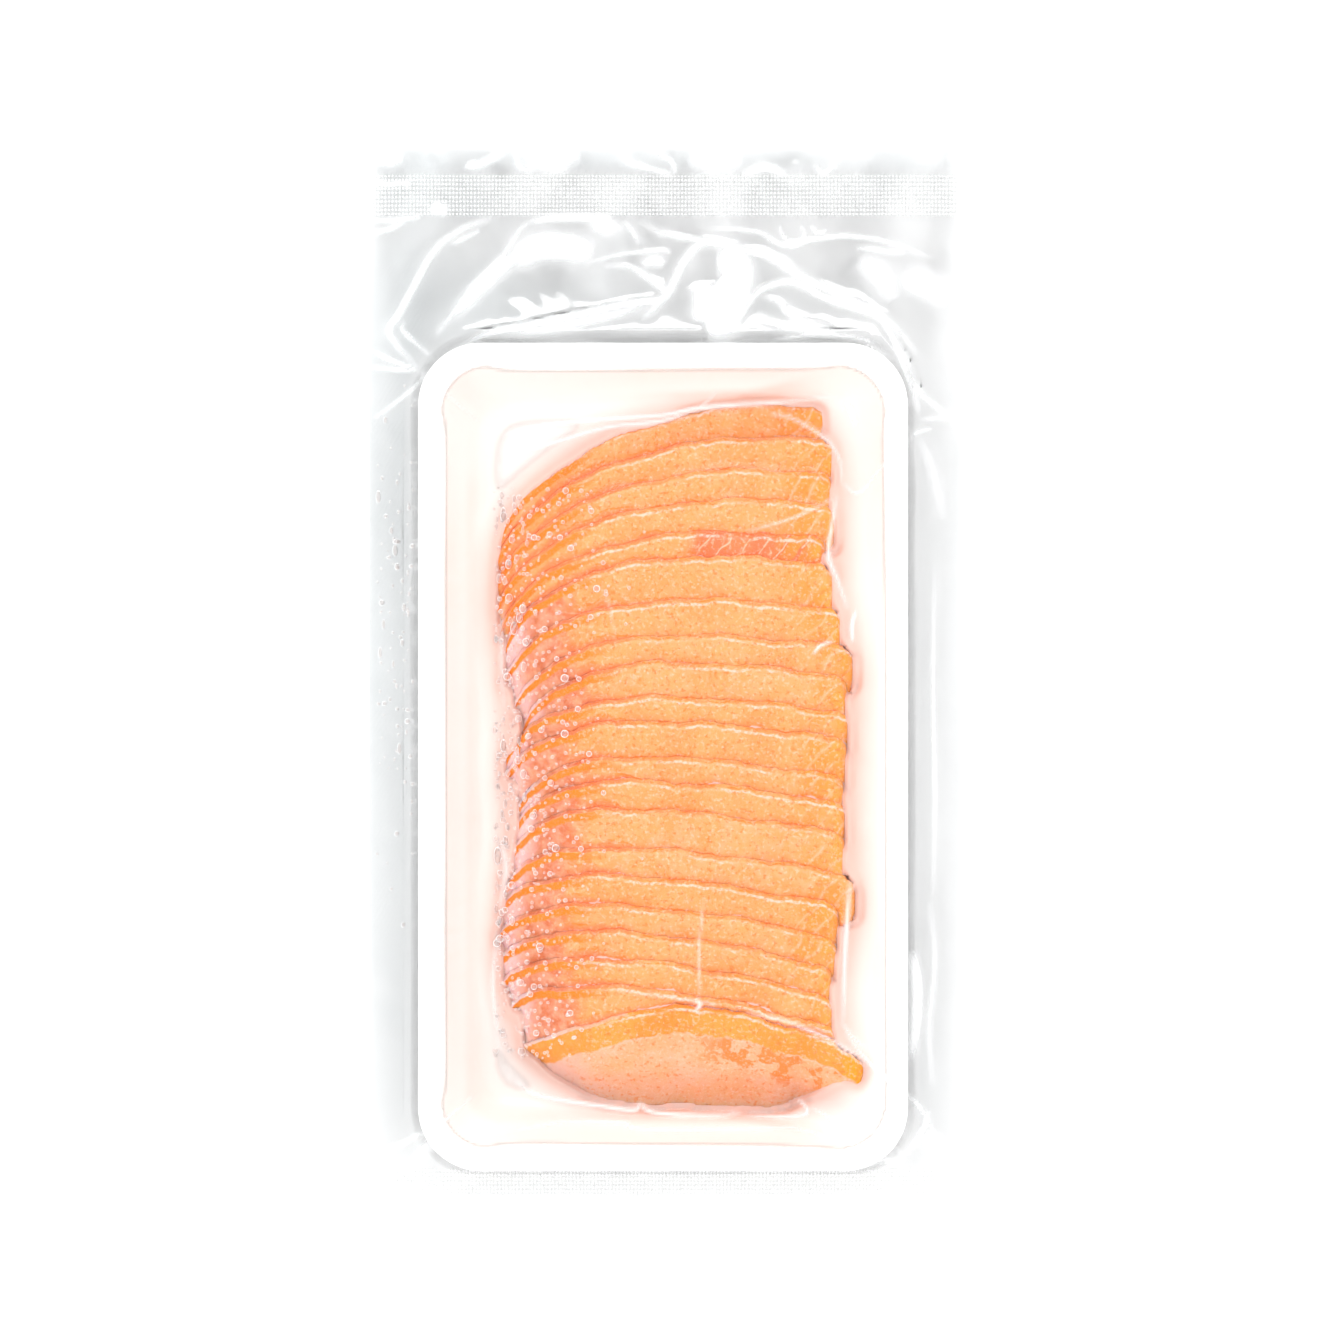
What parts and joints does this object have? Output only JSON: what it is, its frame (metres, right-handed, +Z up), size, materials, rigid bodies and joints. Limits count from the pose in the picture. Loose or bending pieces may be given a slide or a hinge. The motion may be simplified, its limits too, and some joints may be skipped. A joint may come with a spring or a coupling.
{
  "type": "vacuum pack of sliced salmon trout on a foam tray",
  "caption": "Clear vacuum bag drawn tight over a white foam tray that holds a leaning row of salmon trout slices.",
  "frame": {"origin": "under the middle of the bag's outline, on the flat face it rests on", "axes": "+X across the pack, +Y along it towards the end with the wide margin, +Z up out of the open side of the tray"},
  "size_m": [0.162, 0.287, 0.025],
  "materials": {
    "film": "glossy clear packing film, slightly hazy",
    "foam": "white expanded polystyrene with a smooth skin",
    "flesh": "moist pale orange fish flesh"
  },
  "bodies": {
    "root": {"vacuum_bag": "film"}
  },
  "joints": []
}
